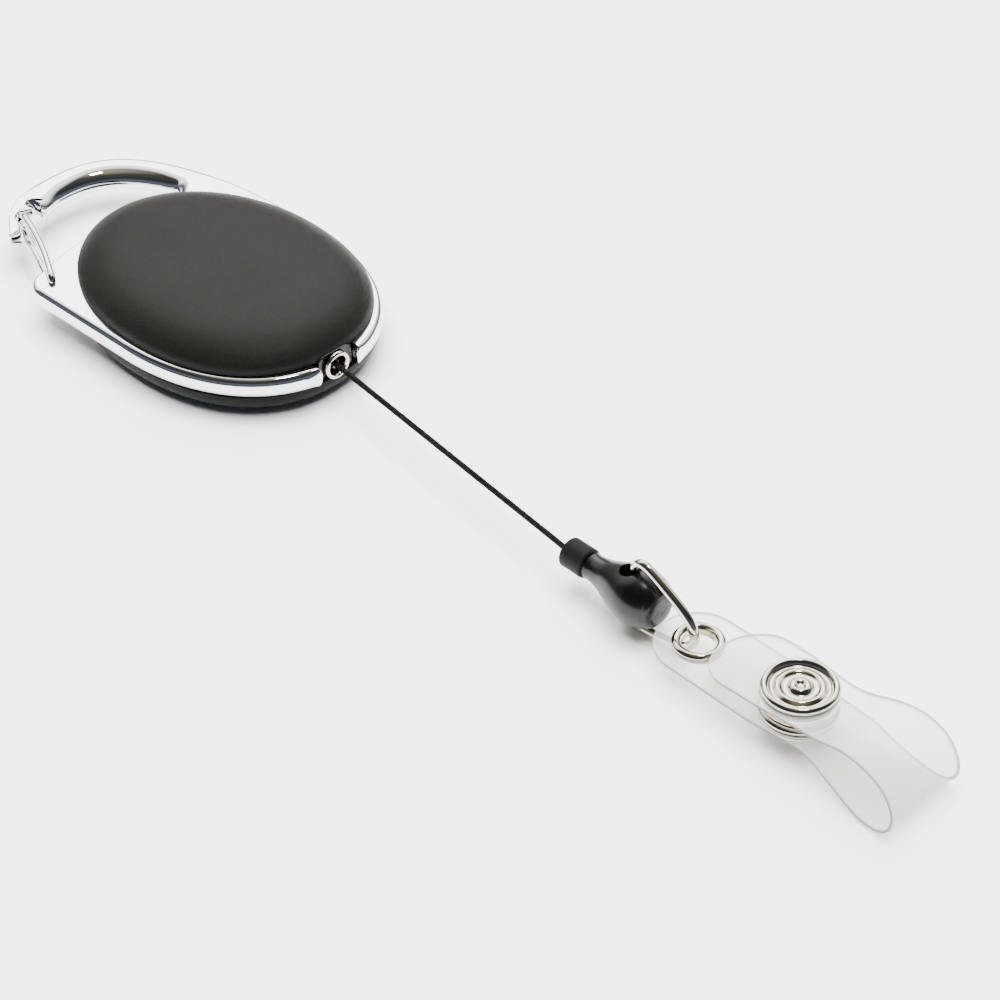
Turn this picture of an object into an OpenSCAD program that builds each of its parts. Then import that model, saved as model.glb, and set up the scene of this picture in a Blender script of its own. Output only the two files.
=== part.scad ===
// Retractable badge reel: carabiner frame between two covers, a spring-wound
// cord, a cord end with a wire link, and a clear snap strap.
// Millimetres. The reel lies on its rear cover at z = 0, +Z is up, the spool
// turns about Z, and the cord is pulled out towards +X.

/* [Reel case] */
// length of the front cover along X
case_length = 46.6; // [40:0.2:58]
// width of the front cover across Y
case_width = 35.8; // [34.5:0.2:46]
// overall thickness of the case
case_height = 11.2; // [10.6:0.1:14]
// wall of both covers
cover_wall = 1.3; // [1.0:0.1:1.6]
// how far the rear cover stands out past the front one
rear_lip = 0.6; // [0:0.1:1.2]
// radius of the pegs that hold the covers together through the plate
peg_radius = 0.8; // [0.6:0.05:1.0]

/* [Frame] */
// how far the hook reaches past the covers
hook_length = 15.5; // [13:0.1:20]
// how far the band stands out past the front cover at the cord outlet
band_out = 1.7; // [1.4:0.1:2.4]
// how far the frame stands out past the front cover on each side
side_out = 1.3; // [1.0:0.1:2.2]
// thickness of the plate and hook
frame_thickness = 3.0; // [2.6:0.1:3.4]
// width of the hook seen from above
hook_width = 4.6; // [3.6:0.1:5.4]
// width of the thinned nose that the gate closes on
nose_width = 2.1; // [1.6:0.1:2.6]
// how far the nose reaches round from the far end of the hook
nose_length = 8.8; // [7:0.2:10]
// how far to the side of the axis the thinned nose begins
nose_step = 6.4; // [5.4:0.1:7]
// wall left outside the notch that the gate's tip closes into
notch_wall = 1.35; // [1.1:0.05:1.6]
// radius of the hole in the plate that the spool turns in
plate_bore_radius = 16.4; // [16.2:0.1:16.8]
// radius of the plate's edge along the hook opening
plate_edge_radius = 49.5; // [45:0.5:70]

/* [Outlet] */
// width of the gap in the band at the outlet
outlet_gap = 6.3; // [5.8:0.1:7]
// hole radius of the outlet eyelet
outlet_bore = 1.4; // [1.2:0.05:1.5]
// radius of the outlet eyelet's rolled lip
eyelet_lip_radius = 2.15; // [2.0:0.05:2.3]

/* [Gate] */
// diameter of the gate wire
gate_wire_diameter = 1.1; // [0.8:0.1:1.3]
// free height of each gate leg above or below the plate
gate_lift = 0.2; // [0.15:0.05:0.4]
// radial running clearance of the gate's pivot ends
pivot_clearance = 0.05; // [0.02:0.01:0.1]
// gap left around the gate's tip as it swings past the hook
gate_clearance = 0.3; // [0.2:0.05:0.5]

/* [Spool] */
// radius of the drum that the cord winds on
drum_radius = 12.9; // [11.5:0.1:13.2]
// radius of the spool flanges
flange_radius = 15.7; // [15.2:0.1:15.9]
// thickness of the spool flanges
flange_thickness = 0.7; // [0.6:0.05:0.9]
// wall of the drum round the spring
drum_wall = 0.8; // [0.7:0.05:1.0]
// thickness of the floor under the spring
floor_thickness = 0.8; // [0.6:0.05:1.0]
// width of the cord groove
groove_width = 2.4; // [2.0:0.1:2.8]
// radius of the fixed arbor
arbor_radius = 2.4; // [2.0:0.1:3.0]
// radial running clearance of the spool on the arbor
arbor_clearance = 0.08; // [0.04:0.01:0.1]
// turns of the mainspring
spring_turns = 9; // [6:1:10]
// thickness of the mainspring strip as modelled
spring_strip = 0.25; // [0.2:0.05:0.3]

/* [Cord] */
// diameter of the braided cord
cord_diameter = 0.8; // [0.6:0.05:1.0]
// length of cord that shows between the outlet and the collar
cord_shown = 49.4; // [30:0.5:80]
// how far the cord end lies to the side of the reel's axis
cord_end_offset = -5.3; // [-8:0.1:0]

/* [Cord end] */
// outer diameter of the collar
collar_diameter = 4.1; // [3.8:0.1:5.5]
// length of the collar
collar_length = 3.7; // [3:0.1:6]
// largest diameter of the bulb
bulb_diameter = 7.7; // [7:0.1:10]
// length of the bulb
bulb_length = 12.0; // [11:0.1:16]
// diameter of the cross hole that the link passes through
bulb_hole = 2.9; // [2.8:0.1:3.4]

/* [Link] */
// diameter of the link wire
link_wire_diameter = 1.3; // [1.0:0.05:1.4]
// gap between the link and the bulb's fattest ring
link_clearance = 0.7; // [0.5:0.05:1.0]
// length of the link, measured between wire centres
link_length = 11.0; // [10.4:0.1:13]
// how far the link droops towards the strap
link_droop = 10; // [6:1:11]

/* [Strap] */
// thickness of the clear strap
strap_thickness = 0.5; // [0.4:0.05:0.7]
// half width of the strap at its rounded ends
strap_half_width = 5.8; // [5:0.05:8]
// how much narrower each edge is beside the snap
strap_waist = 0.6; // [0:0.1:1.2]
// how much wider each edge is at the fold
strap_flare = 0.45; // [0:0.05:1]
// distance from the eyelet to the outside of the fold
strap_reach = 35.8; // [32:0.2:48]
// outer radius of the strap eyelet
eyelet_radius = 3.4; // [3.2:0.1:4.2]
// hole radius of the strap eyelet
eyelet_hole = 2.2; // [2.1:0.05:2.6]

/* [Snap] */
// radius of the snap cap
snap_radius = 4.85; // [4:0.05:5.2]
// gap that the snap holds between the two strap layers
snap_gap = 2.6; // [2.5:0.1:3.2]

/* [Hidden] */
$fn = 64;

outline_points = 64;
case_half_length = case_length / 2;
case_half_width = case_width / 2;
band_reach = case_half_length + band_out;
hook_reach = case_half_length + hook_length;
frame_half_width = case_half_width + side_out;
frame_low = case_height / 2 - frame_thickness / 2 - 0.1;
frame_top = frame_low + frame_thickness;
mid_z = frame_low + frame_thickness / 2;
front_size = [case_half_length - 0.1, case_half_length - 0.2, case_half_width, 2.25, 2.0];
rear_size = [front_size[0] + rear_lip + 0.2, front_size[1] + rear_lip, case_half_width + rear_lip, 2.25, 2.0];
frame_size = [band_reach, hook_reach, frame_half_width, 2.15, 2.5];
gap_half = outlet_gap / 2;
nose_end = hook_reach - nose_length;
outlet_x = case_half_length + 0.3;
sleeve_radius = outlet_bore + 0.35;

// pegs that hold the covers together through the plate
peg_spots = [for (s = [-1, 1]) each
    [[-case_half_length * 0.837, s * 4.5], [case_half_length * 0.742, s * case_half_width * 0.492]]];

// gate
gate_pivot = [-(case_half_length - 6.46), -(frame_half_width - 2.4)];
gate_radius = gate_wire_diameter / 2;
gate_tip_y = -frame_half_width * 0.504;
gate_tip = [gate_radius + gate_clearance - hook_back(notch_wall, gate_tip_y), gate_tip_y];
gate_span = norm(gate_tip - gate_pivot);
gate_angle = atan2(gate_tip[1] - gate_pivot[1], gate_tip[0] - gate_pivot[0]);
gate_high = frame_top + gate_lift + gate_radius;
gate_low = frame_low - gate_lift - gate_radius;

// spool
groove_low = mid_z - groove_width / 2;
groove_top = mid_z + groove_width / 2;
spool_low = cover_wall + 0.9;
spool_top = groove_top + flange_thickness + 0.8;
coil_radius = drum_radius + 2.3;
arbor_top = case_height - 1.9;

// cord end, measured along X
collar_x = outlet_x + 0.2 + cord_shown * cos(asin(-cord_end_offset / cord_shown));
bulb_x = collar_x + collar_length + 0.25;
hole_x = bulb_x + 6.6 * bulb_length / 12;
bulb_y = cord_end_offset;
cord_radius = cord_diameter / 2;

// the cord leaves the coil on a tangent, turns through the outlet and runs to the collar
lead_radius = coil_radius + cord_radius + 0.05;
lead_in = [outlet_x - 1.4, 0.62];
lead_angle = atan2(lead_in[1], lead_in[0]) + acos(lead_radius / norm(lead_in));
lead_start = lead_radius * [cos(lead_angle), sin(lead_angle)];
cord_out = outlet_x + 0.2;
cord_run = collar_x + collar_length + 1.3 - cord_out;
cord_route = concat(
    [for (t = [0:0.1:0.9]) concat(lead_start * (1 - t) + lead_in * t, [mid_z])],
    [for (t = [0:0.25:1]) concat(lead_in * (1 - t) + [cord_out, 0] * t, [mid_z])],
    [for (t = [0.04:0.04:1]) [cord_out + cord_run * t, bulb_y * min(1, t * cord_run / (collar_x - cord_out)), mid_z]]);

// link: a rounded triangle with its straight side in the bulb's cross hole
link_radius = link_wire_diameter / 2;
link_half_height = bulb_diameter / 2 + link_radius + link_clearance;
link_upper = [[0, 2.4], [0, 4.1], [1.2, 4.95], [3.5, 4.3], [6.6, 3.4], [9.5, 2.3]];
link_plan = [for (p = concat([[0, 0]], link_upper, [[11.25, 0]], [for (q = reversed(link_upper)) [q[0], -q[1]]]))
    [p[0] * link_length / 10.67, p[1] * link_half_height / 4.72]];
link_x = hole_x + 0.1;
link_z = mid_z + 0.62;
link_end = [link_x + link_length * cos(link_droop), link_z - link_length * sin(link_droop)];

// strap, as a side view of its middle plane
strap_x = link_end[0] + 0.7;
strap_z = link_end[1] - 0.1;
strap_end = strap_x - strap_half_width;
snap_x = strap_x + strap_reach * 0.45;
post_z = strap_z - 0.15;
flap_z = post_z + strap_thickness + snap_gap;
// gaps along the seam of the two layers, and between the layers and the metal
seam_gap = 0.3;
metal_gap = 0.04;
fold_x = strap_x + strap_reach;
flap_tip = snap_x - 12.6;
// both layers lie flat under the snap, and turn up into the fold
function flat_run(z, way) = [for (k = [-2:2]) [snap_x + way * k * 3.25, z]];
fold_turn = [[fold_x - 0.8, 0.5], [fold_x + 0.35, 3.6]];
lower_plan = concat([[strap_end, strap_z], [strap_x - 3, strap_z], [strap_x + 1, strap_z], [strap_x + 5, strap_z]],
    flat_run(post_z, 1), [[fold_x - 9, post_z - 2.1], [fold_x - 4.6, 0.28]], fold_turn, [[fold_x - 0.3, 6.6]]);
upper_plan = concat(fold_turn, [[fold_x - 1.4, 7.5], [fold_x - 5.4, flap_z + 2.1], [fold_x - 9.5, flap_z + 1.7]],
    flat_run(flap_z, -1), [[snap_x - 9.6, flap_z - 0.5], [flap_tip, flap_z - 1.1]]);

// ---- shared shapes ----

// outline of two half superellipses, ar long to the right and al long to the left
function egg(s, inset) = [for (i = [0:outline_points - 1])
    let (t = 360 * i / outline_points, c = cos(t), k = sin(t),
        n = c >= 0 ? s[3] : s[4], a = (c >= 0 ? s[0] : s[1]) - inset)
    [a * sign(c) * pow(abs(c), 2 / n), (s[2] - inset) * sign(k) * pow(abs(k), 2 / n)]];

// how far back the frame's outline, pulled in by inset, lies at a given y
function hook_back(inset, y) = (hook_reach - inset)
    * pow(1 - pow(abs(y) / (frame_half_width - inset), frame_size[4]), 1 / frame_size[4]);

// solid with that outline, pulled in by levels[i][1] at height levels[i][0]
module pebble(s, levels) {
    k = outline_points;
    m = len(levels);
    polyhedron(
        points = [for (l = levels) for (p = egg(s, l[1])) [p[0], p[1], l[0]]],
        faces = concat([[for (i = [0:k - 1]) i]], [[for (i = [k - 1:-1:0]) (m - 1) * k + i]],
            [for (j = [0:m - 2]) for (i = [0:k - 1]) let (a = j * k + i, b = j * k + (i + 1) % k) each
                [[a, a + k, b + k], [a, b + k, b]]]));
}

// point on a uniform cubic curve, closed or open
function near(p, i, closed) = let (n = len(p)) closed ? p[(i + n) % n] : p[max(0, min(n - 1, i))];
function curve_at(p, i, t, closed) = (pow(1 - t, 3) * near(p, i - 1, closed)
    + (3 * pow(t, 3) - 6 * t * t + 4) * near(p, i, closed)
    + (-3 * pow(t, 3) + 3 * t * t + 3 * t + 1) * near(p, i + 1, closed)
    + pow(t, 3) * near(p, i + 2, closed)) / 6;
function curve(p, steps, closed) = [for (i = [0:len(p) - (closed ? 1 : 2)]) for (s = [0:steps - 1])
    curve_at(p, i, s / steps, closed)];

// round wire along a route in space, open with flat ends or closed on itself
module wire(route, radius, sides, closed) {
    n = len(route);
    up = [0, 0, 1];
    side = [0, 1, 0];
    ring = function (i) let (
        a = closed ? route[(i + n - 1) % n] : route[max(0, i - 1)],
        b = closed ? route[(i + 1) % n] : route[min(n - 1, i + 1)],
        d = (b - a) / norm(b - a),
        e = closed ? side : let (c = cross(up, d)) c / norm(c),
        f = cross(d, e))
        [for (s = [0:sides - 1]) route[i] + radius * (cos(360 * s / sides) * e + sin(360 * s / sides) * f)];
    skin = [for (i = [0:n - (closed ? 1 : 2)]) for (s = [0:sides - 1])
        let (j = (i + 1) % n, t = (s + 1) % sides)
        each [[i * sides + s, j * sides + s, j * sides + t], [i * sides + s, j * sides + t, i * sides + t]]];
    caps = closed ? [] : [[for (s = [0:sides - 1]) s], [for (s = [sides - 1:-1:0]) (n - 1) * sides + s]];
    polyhedron(points = [for (i = [0:n - 1]) each ring(i)], faces = concat(skin, caps));
}

// half width of the strap at a distance from its rounded end, and at a place along X
function lobe(d) = d >= strap_half_width ? strap_half_width
    : sqrt(max(0.02, pow(strap_half_width, 2) - pow(strap_half_width - d, 2)));
function bell(v, mid, spread) = exp(-pow((v - mid) / spread, 2));
function strap_half(x, d) = lobe(d) - strap_waist * bell(x, snap_x + 4, 4.5)
    + strap_flare * (x > fold_x - 10 ? 1 - bell(x, fold_x - 10, 4) : 0);

// strip of strap that follows a side view, with one rounded end at its start
module strip(plan, run) {
    n = len(plan);
    t = strap_thickness / 2;
    normal = [for (i = [0:n - 1]) let (d = near(plan, i + 1, false) - near(plan, i - 1, false))
        [-d[1], d[0]] / norm(d)];
    polyhedron(
        points = [for (i = [0:n - 1])
            let (w = strap_half(plan[i][0], run[i]), a = plan[i] - t * normal[i], b = plan[i] + t * normal[i])
            each [[a[0], bulb_y - w, a[1]], [a[0], bulb_y + w, a[1]], [b[0], bulb_y + w, b[1]], [b[0], bulb_y - w, b[1]]]],
        faces = concat([[0, 1, 2, 3]], [[4 * n - 1, 4 * n - 2, 4 * n - 3, 4 * n - 4]],
            [for (i = [0:n - 2]) for (s = [0:3]) let (a = 4 * i + s, b = 4 * i + (s + 1) % 4)
                each [[a, a + 4, b + 4], [a, b + 4, b]]]));
}

function travelled(p, i) = i == 0 ? 0 : travelled(p, i - 1) + norm(p[i] - p[i - 1]);
function reversed(p) = [for (i = [len(p) - 1:-1:0]) p[i]];

module ring(outer, inner, low, high) {
    difference() {
        translate([0, 0, low]) cylinder(r = outer, h = high - low);
        translate([0, 0, low - 1]) cylinder(r = inner, h = high - low + 2);
    }
}

module along_x(x, y, z) { translate([x, y, z]) rotate([0, 90, 0]) children(); }

// ---- case ----

module rear_cover() color([0.06, 0.06, 0.065]) {
    top = frame_low;
    difference() {
        union() {
            difference() {
                pebble(rear_size, [[0, 4], [0.5, 2.35], [1.2, 1.3], [2.0, 0.5], [2.9, 0], [top, 0]]);
                pebble(rear_size, [[cover_wall, cover_wall + 2.5], [cover_wall + 0.9, cover_wall + 1.0],
                    [cover_wall + 1.9, cover_wall + 0.2], [top + 1, cover_wall + 0.2]]);
            }
            ring(arbor_radius + 1.2, arbor_radius + 0.02, cover_wall - 0.2, spool_low - 0.35);
            for (p = peg_spots) translate([p[0], p[1], cover_wall - 0.2])
                cylinder(r = 2 * peg_radius, h = top - cover_wall + 0.2);
            translate([outlet_x - 1.4, -gap_half + 0.05, 1.5]) cube([1.2, outlet_gap - 0.1, mid_z + 2.25 - 1.5]);
        }
        for (p = peg_spots) translate([p[0], p[1], top - 1.6]) cylinder(r = peg_radius + 0.03, h = 4);
        translate([0, 0, cover_wall - 0.5]) cylinder(r = arbor_radius + 0.02, h = 2);
        along_x(outlet_x - 3, 0, mid_z) cylinder(r = sleeve_radius + 0.02, h = 5);
        along_x(outlet_x - 0.2, 0, mid_z) cylinder(r = eyelet_lip_radius + 0.1, h = 3);
    }
}

module front_cover() color([0.3, 0.29, 0.27]) {
    low = frame_top;
    high = case_height;
    difference() {
        union() {
            difference() {
                pebble(front_size, [[low, 0], [low + 0.7, 0.05], [low + 1.6, 0.5], [low + 2.5, 1.5], [low + 3.2, 2.9],
                    [high - 0.5, 4.9], [high - 0.15, 8], [high, 12]]);
                pebble(front_size, [[low - 1, cover_wall], [low + 0.7, cover_wall + 0.1], [low + 1.5, cover_wall + 1.0],
                    [low + 2.3, cover_wall + 3.0], [high - 1.4, cover_wall + 6.5]]);
            }
            ring(arbor_radius + 1.2, arbor_radius + 0.02, arbor_top - 0.5, high - 1.2);
            for (p = peg_spots) translate([p[0], p[1], low]) cylinder(r = 2 * peg_radius, h = high - 1.3 - low);
        }
        translate([outlet_x - 3, -gap_half, low - 1]) cube([5, outlet_gap, mid_z + 2.3 - low + 1]);
    }
    for (p = peg_spots) translate([p[0], p[1], frame_low - 1.5]) cylinder(r = peg_radius, h = frame_thickness + 1.6);
}

module outlet_eyelet() color([0.8, 0.77, 0.72]) along_x(outlet_x - 1.45, 0, mid_z)
    rotate_extrude() polygon([[outlet_bore + 0.1, 0], [sleeve_radius, 0], [sleeve_radius, 1.27],
        [eyelet_lip_radius - 0.2, 1.27], [eyelet_lip_radius, 1.5], [eyelet_lip_radius, 1.75],
        [eyelet_lip_radius - 0.2, 2.0], [eyelet_lip_radius - 0.45, 2.05],
        [outlet_bore + 0.1, 1.9], [outlet_bore, 1.6], [outlet_bore, 0.35]]);

module arbor() color([0.75, 0.75, 0.74]) difference() {
    translate([0, 0, cover_wall - 0.5]) cylinder(r = arbor_radius, h = arbor_top - cover_wall + 0.5);
    translate([-0.2, 0, spool_low + floor_thickness + 0.3]) cube([0.4, 5, 20]);
}

module thrust_washer() color([0.85, 0.85, 0.8])
    ring(arbor_radius + 2, arbor_radius + 0.06, spool_low - 0.35, spool_low - 0.1);

// ---- frame and gate ----

// a flat shape cut right through the plate
module through_plate() { translate([0, 0, frame_low - 1]) linear_extrude(frame_thickness + 2) children(); }

// outline of the frame with its rounded edge, and the lobe that carries the gate's pivot
module frame_blank() {
    levels = [[frame_low, 0.9], [frame_low + 0.35, 0.3], [mid_z, 0], [frame_top - 0.35, 0.3], [frame_top, 0.9]];
    slice = 0.02;
    pebble(frame_size, levels);
    hull() for (l = levels) translate([0, 0, l[0] - (l[0] > mid_z ? slice : 0)]) {
        translate([gate_pivot[0] - 0.1, gate_pivot[1] + 0.4]) cylinder(r = 3.35 - l[1], h = slice, $fn = 32);
        translate([0, -frame_half_width / 2]) cylinder(r = frame_half_width / 2 + 0.1 - l[1], h = slice, $fn = 48);
    }
}

// hook opening: the inside of the hook, the thinned nose, the gate tip's way past
// the hook, and the mouth between nose and plate, all short of the plate's edge
module hook_opening() {
    way = gate_radius + gate_clearance;
    corner = [-(case_half_length + 2.04), frame_half_width * 0.477];
    difference() {
        union() {
            through_plate() polygon(egg(frame_size, hook_width));
            through_plate() intersection() {
                polygon(egg(frame_size, nose_width));
                translate([-hook_reach, -40]) square([nose_length + 2, 40 - nose_step]);
            }
            through_plate() intersection() {
                polygon(egg(frame_size, notch_wall));
                translate(gate_pivot) circle(r = gate_span + way);
                translate([-hook_reach, gate_tip[1] - way]) square([hook_reach, 3.3]);
            }
            through_plate() translate([-nose_end, -40]) square([20, 40 - nose_step]);
        }
        through_plate() translate([plate_edge_radius - (case_half_length - 0.34), 0])
            circle(r = plate_edge_radius, $fn = 240);
        // rounded far corner of the opening
        through_plate() difference() {
            translate(corner) square(12);
            translate(corner) circle(r = 2.9);
        }
    }
}

module frame() color([0.88, 0.88, 0.9]) difference() {
    frame_blank();
    through_plate() circle(r = plate_bore_radius);
    hook_opening();
    // way for the cord from the spool to the outlet
    through_plate() polygon([[0, 0], lead_start + [0.9, 0.9], [outlet_x - 2.2, gap_half], [band_reach + 5, gap_half],
        [band_reach + 5, -gap_half], [outlet_x - 2.2, -gap_half], [lead_start[0] + 0.9, -lead_start[1] - 0.9]]);
    for (p = peg_spots) translate([p[0], p[1], frame_low - 1]) cylinder(r = peg_radius + 0.1, h = frame_thickness + 2);
    // gate pivot
    translate([gate_pivot[0], gate_pivot[1], frame_low - 1])
        cylinder(r = gate_radius + pivot_clearance, h = frame_thickness + 2);
}

module gate_wire() color([0.9, 0.9, 0.92]) {
    bend = (gate_high - gate_low) / 2;
    translate([gate_pivot[0], gate_pivot[1], 0]) rotate([0, 0, gate_angle]) {
        for (z = [gate_high, gate_low]) {
            along_x(0, 0, z) cylinder(r = gate_radius, h = gate_span - bend);
            translate([0, 0, z]) sphere(r = gate_radius);
        }
        translate([0, 0, mid_z + 0.1]) cylinder(r = gate_radius, h = gate_high - mid_z - 0.1);
        translate([0, 0, gate_low]) cylinder(r = gate_radius, h = mid_z - 0.1 - gate_low);
        translate([gate_span - bend, 0, (gate_high + gate_low) / 2]) rotate([90, 0, 0]) rotate([0, 0, -90])
            rotate_extrude(angle = 180) translate([bend, 0]) circle(r = gate_radius, $fn = 24);
    }
}

// ---- spool ----

module spool() color([0.82, 0.82, 0.8]) difference() {
    union() {
        ring(drum_radius, arbor_radius + arbor_clearance, spool_low, spool_low + floor_thickness);
        ring(drum_radius, drum_radius - drum_wall, spool_low, spool_top);
        ring(flange_radius, drum_radius - 0.3, groove_low - flange_thickness, groove_low);
        ring(flange_radius, drum_radius - 0.3, groove_top, groove_top + flange_thickness);
    }
    // anchor hole for the inner end of the cord
    translate([0, 0, mid_z]) rotate([0, 90, -150]) translate([0, 0, drum_radius - 2]) cylinder(r = 0.55, h = 3);
}

module spool_lid() color([0.9, 0.9, 0.86])
    ring(drum_radius - drum_wall - 0.02, arbor_radius + arbor_clearance, spool_top - 0.7, spool_top);

module mainspring() color([0.45, 0.47, 0.5]) {
    inner = arbor_radius + 0.5;
    outer = drum_radius - drum_wall - spring_strip - 0.35;
    low = spool_low + floor_thickness + 0.25;
    steps = spring_turns * 24;
    line = function (off) [for (i = [0:steps])
        (inner + (outer - inner) * i / steps + off) * [cos(90 + 15 * i), sin(90 + 15 * i)]];
    translate([0, 0, low]) linear_extrude(spool_top - 0.95 - low) polygon(concat(line(0), reversed(line(spring_strip))));
}

module spool_knot() color([0.08, 0.08, 0.08])
    rotate([0, 0, -150]) translate([drum_radius - drum_wall - 0.36, 0, mid_z]) sphere(r = 0.34, $fn = 24);

// packed turns of cord, three side by side
module wound_cord() color([0.05, 0.05, 0.05]) {
    low = groove_low + 0.02;
    high = groove_top - 0.02;
    rotate_extrude() polygon(concat([[drum_radius, low]],
        [for (t = [0:1 / 18:1.001]) [coil_radius - cord_radius * 0.8 * (1 - abs(sin(540 * t))), low + (high - low) * t]],
        [[drum_radius, high]]));
}

// ---- cord and its end ----

module pull_cord() color([0.07, 0.07, 0.07]) wire(cord_route, cord_radius, 8, false);

module cord_knot() color([0.07, 0.07, 0.07]) translate([bulb_x + 2.1, bulb_y, mid_z]) sphere(r = 0.95, $fn = 32);

module collar() color([0.1, 0.1, 0.1]) along_x(collar_x, bulb_y, mid_z) difference() {
    union() {
        cylinder(d = collar_diameter, h = collar_length);
        cylinder(r = 1.15, h = collar_length + 0.9);
    }
    translate([0, 0, -1]) cylinder(r = cord_radius + 0.06, h = collar_length + 3);
}

// side of a bulb 12 long and 7.7 thick: distance from its axis, distance along it
bulb_side = [[0, 0], [1.75, 0], [1.8, 1.0], [2.12, 2.5], [2.7, 4.0], [3.25, 5.4], [3.66, 6.8], [3.84, 8.0],
    [3.82, 9.0], [3.56, 10.1], [3.05, 11.1], [2.5, 11.7], [1.9, 12.0], [0, 12.0]];

module bulb() color([0.06, 0.06, 0.06]) {
    k = bulb_length / 12;
    r = bulb_diameter / 7.7;
    difference() {
        along_x(bulb_x, bulb_y, mid_z) rotate_extrude() polygon([for (p = bulb_side) [p[0] * r, p[1] * k]]);
        along_x(bulb_x - 1, bulb_y, mid_z) cylinder(r = 1.17, h = 4.3);
        translate([hole_x, bulb_y, mid_z - bulb_diameter]) cylinder(d = bulb_hole, h = 2 * bulb_diameter);
    }
}

module link() color([0.82, 0.8, 0.74]) translate([link_x, bulb_y, link_z]) rotate([0, link_droop, 0])
    wire([for (p = curve(link_plan, 4, true)) [p[0], 0, p[1]]], link_radius, 12, true);

// ---- strap ----

strap_clear = [0.86, 0.88, 0.9, 0.4];
nickel = [0.78, 0.76, 0.7];

// the lower layer from its end to the fold's outermost point, where the flap begins
lower_line = [for (p = curve(lower_plan, 4, false)) if (p[0] > strap_end + 1) p];
outermost = search(max([for (p = lower_line) p[0]]), [for (p = lower_line) p[0]])[0];

module strap_base() color(strap_clear) {
    plan = concat([for (d = [0, 0.25, 0.7]) [strap_end + d, strap_z]], [for (i = [0:outermost]) lower_line[i]]);
    difference() {
        strip(plan, [for (i = [0:len(plan) - 1]) travelled(plan, i)]);
        translate([strap_x, bulb_y, 0]) cylinder(r = eyelet_hole + 0.35, h = 6);
        translate([snap_x, bulb_y, 0]) cylinder(r = 1.2, h = post_z + 1);
    }
}

module strap_flap() color(strap_clear) {
    turn = lower_line[outermost];
    upper = concat([for (p = curve(upper_plan, 4, false)) if (p[1] > turn[1] + 0.3 && p[0] > flap_tip + 1.1) p],
        [for (d = [0.7, 0.25, 0]) [flap_tip + d, flap_z - 1.1 + d * 0.19]]);
    plan = reversed(concat([turn + [0, seam_gap]], upper));
    difference() {
        strip(plan, [for (i = [0:len(plan) - 1]) travelled(plan, i)]);
        translate([snap_x, bulb_y, flap_z - 1]) cylinder(r = 1.2, h = 3);
    }
}

module strap_eyelet() color(nickel) translate([strap_x, bulb_y, strap_z + strap_thickness / 2]) rotate_extrude()
    polygon([[eyelet_hole, -strap_thickness - 0.3], [eyelet_hole + 0.3, -strap_thickness - 0.3],
        [eyelet_hole + 0.3, 0], [eyelet_radius - 0.1, 0], [eyelet_radius, 0.2], [eyelet_radius - 0.15, 0.42],
        [eyelet_radius - 0.5, 0.58], [eyelet_hole + 0.5, 0.6], [eyelet_hole + 0.15, 0.45], [eyelet_hole, 0.15]]);

module eyelet_washer() color(nickel) translate([strap_x, bulb_y, strap_z - strap_thickness / 2 - metal_gap])
    ring(eyelet_radius - 0.1, eyelet_hole + 0.32, -0.3, 0);

module snap_post() color(nickel) translate([snap_x, bulb_y, post_z - strap_thickness / 2 - metal_gap]) {
    difference() {
        rotate_extrude() polygon([[0, -0.35], [1.2, -0.75], [snap_radius - 0.9, -0.8], [snap_radius - 0.3, -0.65],
            [snap_radius - 0.1, -0.35], [snap_radius - 0.3, 0], [0, 0]]);
        translate([0, 0, -2]) cylinder(r = 0.6, h = 1.7);
    }
    cylinder(r = 0.9, h = strap_thickness + 0.6);
}

module snap_stud() color(nickel) translate([snap_x, bulb_y, post_z + strap_thickness / 2 + metal_gap]) rotate_extrude()
    polygon([[0.95, 0], [snap_radius, 0], [snap_radius + 0.15, 0.3], [snap_radius, 0.65], [snap_radius - 0.5, 0.85],
        [2.2, 0.85], [1.85, 1.1], [1.95, 1.5], [1.7, 1.95], [1.3, 2.05], [0.95, 1.7]]);

module snap_cap() color(nickel) translate([snap_x, bulb_y, flap_z + strap_thickness / 2 + metal_gap]) {
    rotate_extrude() polygon([[0, 0], [snap_radius - 0.35, 0], [snap_radius - 0.05, 0.2], [snap_radius, 0.5],
        [snap_radius - 0.15, 0.8], [snap_radius - 0.5, 0.95], [snap_radius - 0.85, 0.85], [snap_radius - 1.15, 0.45],
        [snap_radius - 1.5, 0.35], [snap_radius - 1.8, 0.62], [snap_radius - 2.1, 0.62], [snap_radius - 2.4, 0.4],
        [1.5, 0.4], [1.15, 0.75], [0.75, 0.85], [0.4, 0.7], [0, 0.65]]);
    translate([0, 0, -strap_thickness - 0.25]) cylinder(r = 0.9, h = strap_thickness + 0.35);
}

module snap_socket() color(nickel) translate([snap_x, bulb_y, flap_z - strap_thickness / 2 - metal_gap]) rotate_extrude()
    polygon([[0.95, 0], [snap_radius - 0.3, 0], [snap_radius, -0.25], [snap_radius + 0.05, -0.7],
        [snap_radius - 0.15, -1.2], [snap_radius - 0.6, -1.6], [2.75, -1.6], [2.75, -0.45], [0.95, -0.3]]);

module snap_spring() color([0.7, 0.68, 0.6])
    translate([snap_x, bulb_y, flap_z - strap_thickness / 2 - metal_gap - 1.05])
    rotate_extrude(angle = 320) translate([2.45, 0]) circle(r = 0.24, $fn = 16);

rear_cover();
front_cover();
frame();
outlet_eyelet();
arbor();
thrust_washer();
spool();
spool_lid();
mainspring();
spool_knot();
wound_cord();
gate_wire();
pull_cord();
cord_knot();
collar();
bulb();
link();
strap_base();
strap_eyelet();
eyelet_washer();
snap_post();
snap_stud();
strap_flap();
snap_cap();
snap_socket();
snap_spring();
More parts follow.
